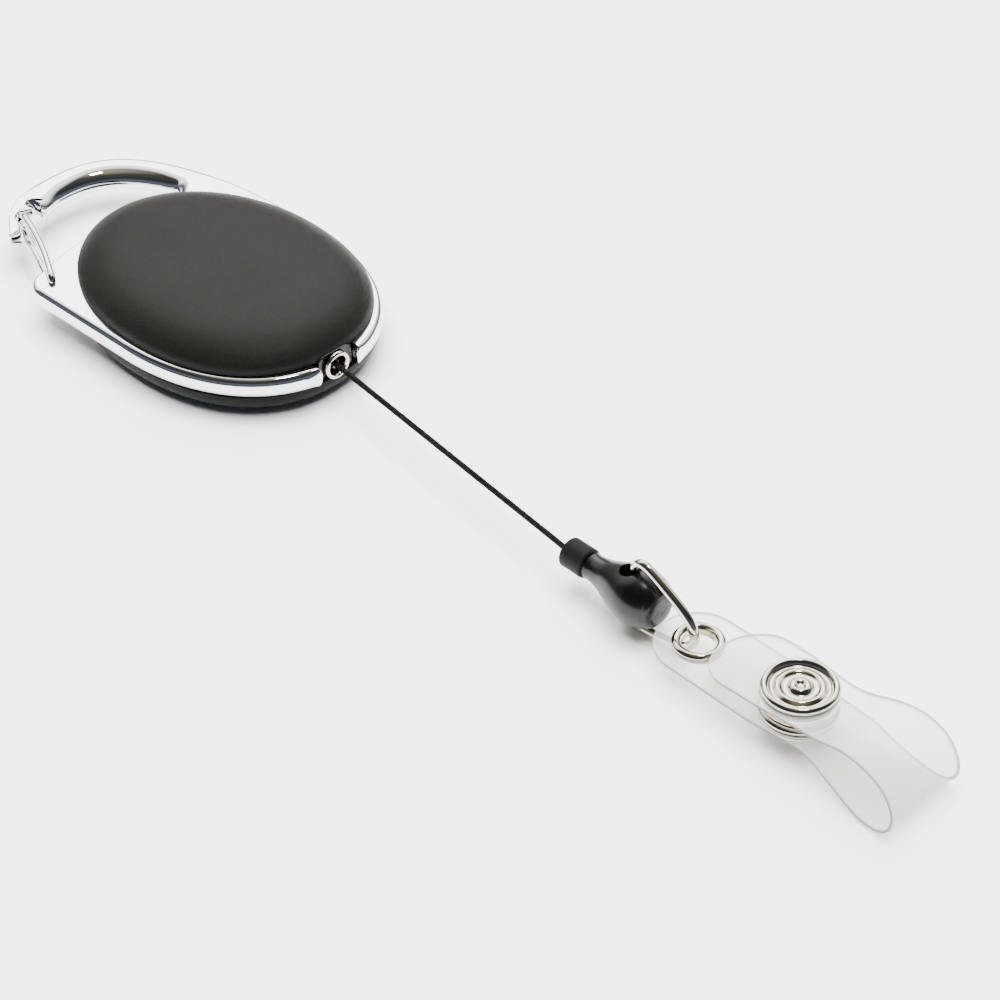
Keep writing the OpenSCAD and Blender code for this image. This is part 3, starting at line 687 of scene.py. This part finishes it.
def makeFrame(settings):
    # the edge line, with a quarter ellipse rolled in above it and another below it
    line = [np.column_stack([points, *(np.broadcast_to(value, len(points)) for value in section)])
            for points, *section in frameLine(settings)]
    line = np.concatenate([*line, line[0][:1]])
    run = travelled(line[:, :2])
    spacing = settings["spacing"]
    count = int(run[-1] / spacing)
    places = np.arange(count) * run[-1] / count
    line = np.stack([np.interp(places, run, line[:, k]) for k in range(line.shape[1])], -1)
    edge = averaged(line[:, :2], settings["softening"] / spacing)
    above, below, meet = averaged(line[:, 2:], settings["blending"] / spacing).T
    ahead = np.roll(edge, -1, 0) - np.roll(edge, 1, 0)
    ahead /= np.linalg.norm(ahead, axis=1)[:, None]
    # averaged directions shorten at tight corners, which keeps the inner rings apart there
    inward = averaged(np.stack([-ahead[:, 1], ahead[:, 0]], -1), settings["easing"] / spacing)
    rings = []
    for slope in np.radians(np.linspace(-90, 90, settings["rings"])):
        depth, reach = (below, meet - settings["low"]) if slope < 0 else (above, settings["high"] - meet)
        flat = edge + inward * (depth * (1 - np.cos(slope)))[:, None]
        rings.append(np.column_stack([flat, meet + reach * np.sin(slope)]))
    return surface("carabinerFrame", np.array(rings), None, False, 50)


fitted(makeFrame(carabiner), "frame", "frame_chrome", "reel", "frame")
print("frame made")


# the gate in the hook

def makeGate(settings):
    # a wire bent to a long U: in at the pivot from above, along, round the tip and back underneath
    pivot, tip = np.array(settings["pivot"]), np.array(settings["tip"])
    span, bend, turn = np.linalg.norm(tip - pivot), settings["bend"], settings["turn"]
    ahead = (tip - pivot) / span
    high, low = settings["high"], settings["low"]
    quarter, half = np.radians(np.linspace(0, 90, 12)), np.radians(np.linspace(90, -90, 40))
    upper = np.stack([turn - turn * np.cos(quarter), high - turn + turn * np.sin(quarter)], -1)
    tipTurn = np.stack([span - bend + bend * np.cos(half), (high + low) / 2 + bend * np.sin(half)], -1)
    lower = np.stack([turn - turn * np.cos(quarter[::-1]), low + turn - turn * np.sin(quarter[::-1])], -1)
    out, home = np.linspace(upper[-1], tipTurn[0], 12)[1:-1], np.linspace(tipTurn[-1], lower[0], 12)[1:-1]
    first, last = [(0, high - settings["depth"] - turn)], [(0, low + settings["depth"] + turn)]
    plan = np.concatenate([first, upper, out, tipTurn, home, lower, last])
    # both legs bow a little to the side, most at their middle
    bow = settings["bow"] * np.sin(np.pi * np.clip(plan[:, :1] / span, 0, 1))
    flat = pivot + plan[:, :1] * ahead + bow * np.array([ahead[1], -ahead[0]])
    route = np.column_stack([flat, plan[:, 1]])
    return tube("gateWire", route, settings["radius"], (-ahead[1], ahead[0], 0), 32)


fitted(makeGate(gate), "gate", "gate_steel", "gate", "gate_wire")
print("gate made")


# the collar and bulb on the cord's end

collar = {"radius": 2.05, "length": 3.7, "edge": 0.35, "bore": 0.52, "waist": 0.02, "seat": 1.16}
bulb = {
    "profile": [(0.3, 0.0), (1.72, 0.0), (1.78, 0.15), (1.8, 1.0), (2.12, 2.5), (2.7, 4.0), (3.25, 5.4),
                (3.66, 6.8), (3.84, 8.0), (3.82, 9.0), (3.56, 10.1), (3.12, 11.0), (2.96, 11.18),
                (2.55, 11.66), (1.95, 11.95), (1.2, 12.0), (0.0, 12.0)],
    "hole": 1.45, "holeAt": 6.6, "bevel": 0.14,
}


def makeCollar(settings):
    # a sleeve with rounded ends and a slight waist, turned about the cord's line
    radius, length, edge, bore = (settings[k] for k in ("radius", "length", "edge", "bore"))
    bend = np.radians(np.linspace(0, 90, 7))
    front = np.stack([radius - edge + edge * np.sin(bend), edge - edge * np.cos(bend)], -1)
    back = np.stack([radius - edge + edge * np.cos(bend), length - edge + edge * np.sin(bend)], -1)
    waist = [(radius - settings["waist"], length * share) for share in (0.35, 0.65)]
    mouth = [(bore, 0.25), (bore + 0.12, 0.06), (bore + 0.3, 0.0)]
    profile = np.concatenate([mouth, front, waist, back, [(settings["seat"], length), (bore, length)]])
    return turned("collarSleeve", profile, (collarLow[0], endLine, midHeight), "x", 96, True, 35)


def makeBulb(settings):
    # a teardrop turned about the cord's line, drilled across and bevelled at the edges of the hole
    start = np.array([bulbLow[0], endLine, midHeight])
    made = turned("bulbGrip", through(settings["profile"], 6), start, "x", 160)
    hole, place = settings["hole"], start + np.array([settings["holeAt"], 0, 0])
    cut(made, turned("drill", [(hole, -8), (hole, 8)], place, "z", 96))
    changed(made, ("BEVEL", {"width": settings["bevel"] * mm, "segments": 3, "limit_method": "ANGLE",
                             "angle_limit": np.radians(50), "harden_normals": False}))
    shaded(made.data, 40)
    return made


fitted(makeCollar(collar), "collar", "collar_black", "cord_end", "collar")
fitted(makeBulb(bulb), "bulb", "bulb_black", "cord_end", "bulb")
print("cord end made")


# the wire link

link = {
    "radius": 0.65, "half": 5.2, "length": 11.0, "droop": 10, "barAt": 6.7, "barHeight": 6.12,
    "plan": [(0, 0), (0, 2.4), (0, 4.1), (1.2, 4.95), (3.5, 4.3), (6.6, 3.4), (9.5, 2.3), (11.25, 0)],
    "planLength": 10.67, "planHalf": 4.72,    # what the plan comes to once its corners are rounded
}


def makeLink(settings):
    # a rounded triangle of wire, its short side in the bulb's hole, tipped down towards the strap
    scale = (settings["length"] / settings["planLength"], settings["half"] / settings["planHalf"])
    plan = np.array(settings["plan"], float) * scale
    plan = np.concatenate([plan, plan[-2:0:-1] * (1, -1)])
    line = guided(plan, 14, True)
    droop = np.radians(settings["droop"])
    x = bulbLow[0] + settings["barAt"] + line[:, 0] * np.cos(droop) + line[:, 1] * np.sin(droop)
    z = settings["barHeight"] - line[:, 0] * np.sin(droop) + line[:, 1] * np.cos(droop)
    route = np.stack([x, np.full(len(x), endLine), z], -1)
    return tube("wireLink", route, settings["radius"], (0, 1, 0), 32, True)


fitted(makeLink(link), "nickel", "nickel", "link", "link")
print("link made")


# the clear strap and its snap

ringMiddle = middleOf("strap_eyelet")
snapMiddle = middleOf("snap_cap")
strap = {
    "thickness": 0.5, "halfWidth": 5.8, "reach": 35.8, "tongue": 12.6,
    "waist": 0.6, "waistPast": 4, "waistLength": 4.5,    # narrower just past the snap
    "flare": 0.45, "flareBefore": 10, "flareLength": 4,    # wider before the fold
    "eyeletZ": 4.11, "postZ": 3.96, "flapZ": 7.06, "edge": 0.18, "hole": 2.5,
    "spacing": 0.45, "softening": 2.0,
    "foldZ": (4.4, 5.6),    # over this height the strap turns into the flap
}


def strapLine(settings):
    # the strap's middle in side view, from the eyelet end, round the fold, to the end of the flap
    eyelet, snap, fold = ringMiddle[0], snapMiddle[0], ringMiddle[0] + settings["reach"]
    level, post, top = settings["eyeletZ"], settings["postZ"], settings["flapZ"]
    end = eyelet - settings["halfWidth"]
    flat = [-6.5, -3.25, 0, 3.25, 6.5]
    points = [(end, level), (end + 1, level), (eyelet - 3, level), (eyelet + 1, level), (eyelet + 5, level),
              *[(snap + x, post) for x in flat],
              (fold - 9, post - 2.1), (fold - 4.6, 0.28), (fold - 0.8, 0.5), (fold + 0.35, 3.6),
              (fold - 1.4, 7.5), (fold - 5.4, top + 2.1), (fold - 9.5, top + 1.7),
              *[(snap - x, top) for x in flat],
              (snap - 9.6, top - 0.5), (snap - settings["tongue"], top - 1.1)]
    line = guided(points, 16)
    line = line[np.concatenate([[True], np.linalg.norm(np.diff(line, axis=0), axis=1) > 1e-6])]
    return np.concatenate([line, [points[-1]]])


def closeToEnds(length, spacing, tight, count=40, power=2.2):
    # places along the strap, packed closer near both rounded ends
    half = np.linspace(0, 1, count) ** power * tight
    middle = np.arange(tight, length - tight, spacing)[1:]
    return np.concatenate([half, middle, length - half[::-1]])


def strapWidth(settings, x, fromEnd):
    # half width: a circle at each end, narrower beside the snap, wider towards the fold
    radius = settings["halfWidth"]
    width = np.sqrt(np.maximum(radius ** 2 - (radius - np.minimum(fromEnd, radius)) ** 2, 0.01))
    past = x - snapMiddle[0] - settings["waistPast"]
    width -= settings["waist"] * np.exp(-(past / settings["waistLength"]) ** 2)
    flared = x - (ringMiddle[0] + settings["reach"] - settings["flareBefore"])
    width += settings["flare"] * np.where(flared > 0, 1 - np.exp(-(flared / settings["flareLength"]) ** 2), 0)
    return np.maximum(width, 0.08)


def makeStrap(settings):
    # a strip section carried along the strap's line, with its flat sides square to the line's normal
    line = strapLine(settings)
    run = travelled(line)
    places = closeToEnds(run[-1], settings["spacing"], settings["halfWidth"])
    middle = np.stack([np.interp(places, run, line[:, k]) for k in range(2)], -1)
    middle = averaged(middle, settings["softening"], closed=False)
    ahead = np.gradient(middle, axis=0)
    ahead /= np.linalg.norm(ahead, axis=1)[:, None]
    normal = np.stack([-ahead[:, 1], ahead[:, 0]], -1)
    width = strapWidth(settings, middle[:, 0], np.minimum(places, run[-1] - places))[:, None]
    # section: a strip with rounded edges, as places across the strap and through its thickness
    edge = np.minimum(settings["edge"], width * 0.9)
    bend = np.radians(np.linspace(-90, 90, 9))
    flat = np.linspace(-1, 1, 15)[1:-1]
    half = settings["thickness"] / 2
    across = np.concatenate([width - edge + edge * np.cos(bend), (width - edge) * flat[::-1],
                             -(width - edge) - edge * np.cos(bend), (width - edge) * flat], 1)
    level = np.ones(len(flat))
    depth = half * np.concatenate([np.sin(bend), level, np.sin(bend[::-1]), -level])[None, :]
    x, z = (middle[:, k:k + 1] + normal[:, k:k + 1] * depth for k in (0, 1))
    points = np.stack([x, endLine + across, z], -1)
    made = surface("clearStrap", points, places, False, 60)
    writeEdgeMap(made, points, width)
    hole, place = settings["hole"], (ringMiddle[0], endLine, settings["eyeletZ"])
    cut(made, turned("drill", [(hole, -3), (hole, 0.9)], place, "z", 96))
    shaded(made.data, 60)
    return made


def writeEdgeMap(piece, points, width):
    # the UV map's first value becomes the place across the strip, 0 and 1 at its edges
    share = 0.5 + 0.5 * (points[:, :, 1] - endLine) / width
    where = np.empty(len(piece.data.loops), np.int32)
    piece.data.loops.foreach_get("vertex_index", where)
    flat = np.empty(len(where) * 2, np.float32)
    layer = piece.data.uv_layers[0]
    layer.data.foreach_get("uv", flat)
    flat[0::2] = share.reshape(-1)[where]
    layer.data.foreach_set("uv", flat)


clearStrap = fitted(makeStrap(strap), "strap", "strap_clear", None, "strap_base", "strap_flap")
foldX = ringMiddle[0] + strap["reach"]
foldStart, foldEnd = ((foldX * mm, endLine * mm, z * mm) for z in strap["foldZ"])
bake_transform(clearStrap)

# profiles of (radius, height) from each layer's own face
strapRing = [(2.2, -0.8), (2.2, -0.2), (2.2, 0.12), (2.36, 0.42), (2.7, 0.6), (3.0, 0.58), (3.28, 0.4),
             (3.4, 0.2), (3.32, 0.02), (2.9, 0.0), (2.5, 0.0), (2.5, -0.78)]
strapWasher = [(2.52, -0.28), (2.52, -0.02), (3.2, -0.02), (3.3, -0.15), (3.18, -0.28)]
snapCap = [(0.0, 0.6), (0.3, 0.58), (0.62, 0.76), (0.92, 0.85), (1.22, 0.74), (1.5, 0.46), (1.85, 0.36),
           (2.2, 0.4), (2.5, 0.58), (2.8, 0.64), (3.1, 0.5), (3.4, 0.34), (3.7, 0.4), (3.92, 0.7),
           (4.16, 0.92), (4.45, 0.94), (4.72, 0.76), (4.85, 0.48), (4.76, 0.2), (4.5, 0.02), (3.0, 0.0),
           (0.0, 0.0)]
snapSocket = [(1.0, -0.02), (3.0, -0.02), (4.5, -0.02), (4.82, -0.22), (4.9, -0.6), (4.78, -0.82),
              (4.6, -0.92), (4.72, -1.05), (4.66, -1.3), (4.35, -1.56), (3.6, -1.6), (2.8, -1.58),
              (2.75, -1.2), (2.75, -0.5), (1.9, -0.4), (1.0, -0.34)]
snapStud = [(1.0, 0.02), (3.0, 0.02), (4.6, 0.02), (4.92, 0.18), (5.0, 0.36), (4.88, 0.6), (4.5, 0.82),
            (3.6, 0.85), (2.3, 0.86), (1.9, 1.05), (1.95, 1.5), (1.72, 1.9), (1.35, 2.03), (1.0, 1.75)]
snapPost = [(0.0, -0.36), (0.6, -0.42), (1.2, -0.72), (2.5, -0.8), (3.9, -0.79), (4.5, -0.64), (4.72, -0.38),
            (4.6, -0.12), (4.3, -0.02), (2.0, -0.02), (0.0, -0.02)]
skin = strap["thickness"] / 2
# name, profile, place along X, height of the face, body, node, whether the profile is a closed ring
metalRings = [
    ("strapRing", strapRing, ringMiddle[0], strap["eyeletZ"] + skin, "strap", "strap_eyelet", True),
    ("strapWasher", strapWasher, ringMiddle[0], strap["eyeletZ"] - skin, "strap", "eyelet_washer", True),
    ("snapPost", snapPost, snapMiddle[0], strap["postZ"] - skin, "strap", "snap_post", False),
    ("snapStud", snapStud, snapMiddle[0], strap["postZ"] + skin, "strap", "snap_stud", True),
    ("snapSocket", snapSocket, snapMiddle[0], strap["flapZ"] - skin, "flap", "snap_socket", True),
    ("snapCap", snapCap, snapMiddle[0], strap["flapZ"] + skin, "flap", "snap_cap", False),
]
for name, profile, x, z, body, node, ring in metalRings:
    made = turned(name, through(profile, 5, ring), (x, endLine, z), "z", 128, ring, 55)
    fitted(made, "nickel", "nickel", body, node)
print("strap and snap made")


# the parts inside keep their own shapes

carried = {
    "arbor": "arbor", "thrust_washer": "washer", "spool": "spool", "spool_lid": "spool",
    "mainspring": "spring", "snap_spring": "spring",
    "spool_knot": "cord", "wound_cord": "cord", "cord_knot": "cord",
}
for node, finish in carried.items():
    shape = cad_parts[node].data
    shape.materials.clear()
    shape.materials.append(finishes[finish])
print("carried nodes finished:", len(carried))


# floor and light

studio = {
    "strength": 2.5,
    # the sky turns dark towards the camera's side between these two, as cosines from its direction
    "darkFrom": -0.42, "darkFull": -0.08,
    # shades of the sky by height, from the horizon at 0 to straight up at 1
    "white": [(0.0, (0.95, 0.95, 0.95)), (0.012, (0.03, 0.033, 0.04)), (0.2, (0.06, 0.06, 0.07)),
              (0.34, (0.3, 0.3, 0.29)), (0.46, (0.62, 0.62, 0.6)), (0.54, (1.0, 1.0, 0.99)),
              (0.9, (1.0, 1.0, 0.97))],
    "dark": [(0.0, (0.95, 0.95, 0.95)), (0.02, (0.02, 0.022, 0.03)), (0.3, (0.06, 0.065, 0.08)),
             (0.6, (0.012, 0.014, 0.02)), (0.9, (0.03, 0.03, 0.025)), (1.0, (0.16, 0.15, 0.11))],
    # name, place, target, size, power, whether bright metal mirrors it
    "lamps": [("window", (-0.62, 0.66, 0.78), (0.03, 0.0, 0.0), (0.9, 0.7), 7, True),
              ("overhead", (0.12, 0.12, 1.0), (0.05, 0.0, 0.0), (0.16, 0.16), 2.5, True),
              ("fill", (0.05, 0.0, 1.6), (0.05, 0.0, 0.0), (1.6, 1.6), 150, False)],
    "floorHalf": 3, "floorLevel": -0.00003,    # metres
    "floorShades": [(0.86, 0.86, 0.86), (0.84, 0.84, 0.84)],
}


def addFloor(settings):
    half, level = settings["floorHalf"], settings["floorLevel"]
    mesh = bpy.data.meshes.new("floor")
    corners = [(-half, -half, level), (half, -half, level), (half, half, level), (-half, half, level)]
    mesh.from_pydata(corners, [], [(0, 1, 2, 3)])
    floor = bpy.data.objects.new("floor", mesh)
    bpy.context.scene.collection.objects.link(floor)
    made = Finish("paleFloor", {"Roughness": 0.8})
    mesh.materials.append(made.feed(Base_Color=made.mix(made.noise(40.0), *settings["floorShades"])))


def addSky(settings):
    # a white studio, dark on the camera's side, which gives bright metal the dark bands that show its shape
    world = bpy.data.worlds.new("studio")
    bpy.context.scene.world = world
    made = Nodes(world)
    where = made.node("ShaderNodeTexCoord", output="Generated")
    height = made.node("ShaderNodeSeparateXYZ", {}, {0: where}, 2)
    turn = np.radians(camera["azimuth"])
    near = made.node("ShaderNodeVectorMath", {"operation": "DOT_PRODUCT"},
                     {0: where, 1: (np.sin(turn), -np.cos(turn), 0.0)}, "Value")
    white = made.node("ShaderNodeValToRGB", {"stops": settings["white"]}, {0: height})
    dark = made.node("ShaderNodeValToRGB", {"stops": settings["dark"]}, {0: height})
    side = made.node("ShaderNodeMapRange", {"interpolation_type": "SMOOTHSTEP"},
                     {"Value": near, "From Min": settings["darkFrom"], "From Max": settings["darkFull"]})
    shade = made.mix(side, white, dark)
    light = made.node("ShaderNodeBackground", {}, {"Color": shade, "Strength": settings["strength"]})
    output = made.tree.nodes.new("ShaderNodeOutputWorld")
    made.tree.links.new(light.socket, output.inputs[0])


def addSoftbox(name, place, target, size, power, mirrored):
    data = bpy.data.lights.new(name, "AREA")
    data.shape, data.size, data.size_y = "RECTANGLE", size[0], size[1]
    data.energy = power
    made = bpy.data.objects.new(name, data)
    bpy.context.scene.collection.objects.link(made)
    made.visible_glossy = mirrored
    made.location = Vector(place)
    made.rotation_euler = (Vector(target) - Vector(place)).to_track_quat("-Z", "Y").to_euler()


addFloor(studio)
addSky(studio)
for lamp in studio["lamps"]:
    addSoftbox(*lamp)
print("floor and light made")
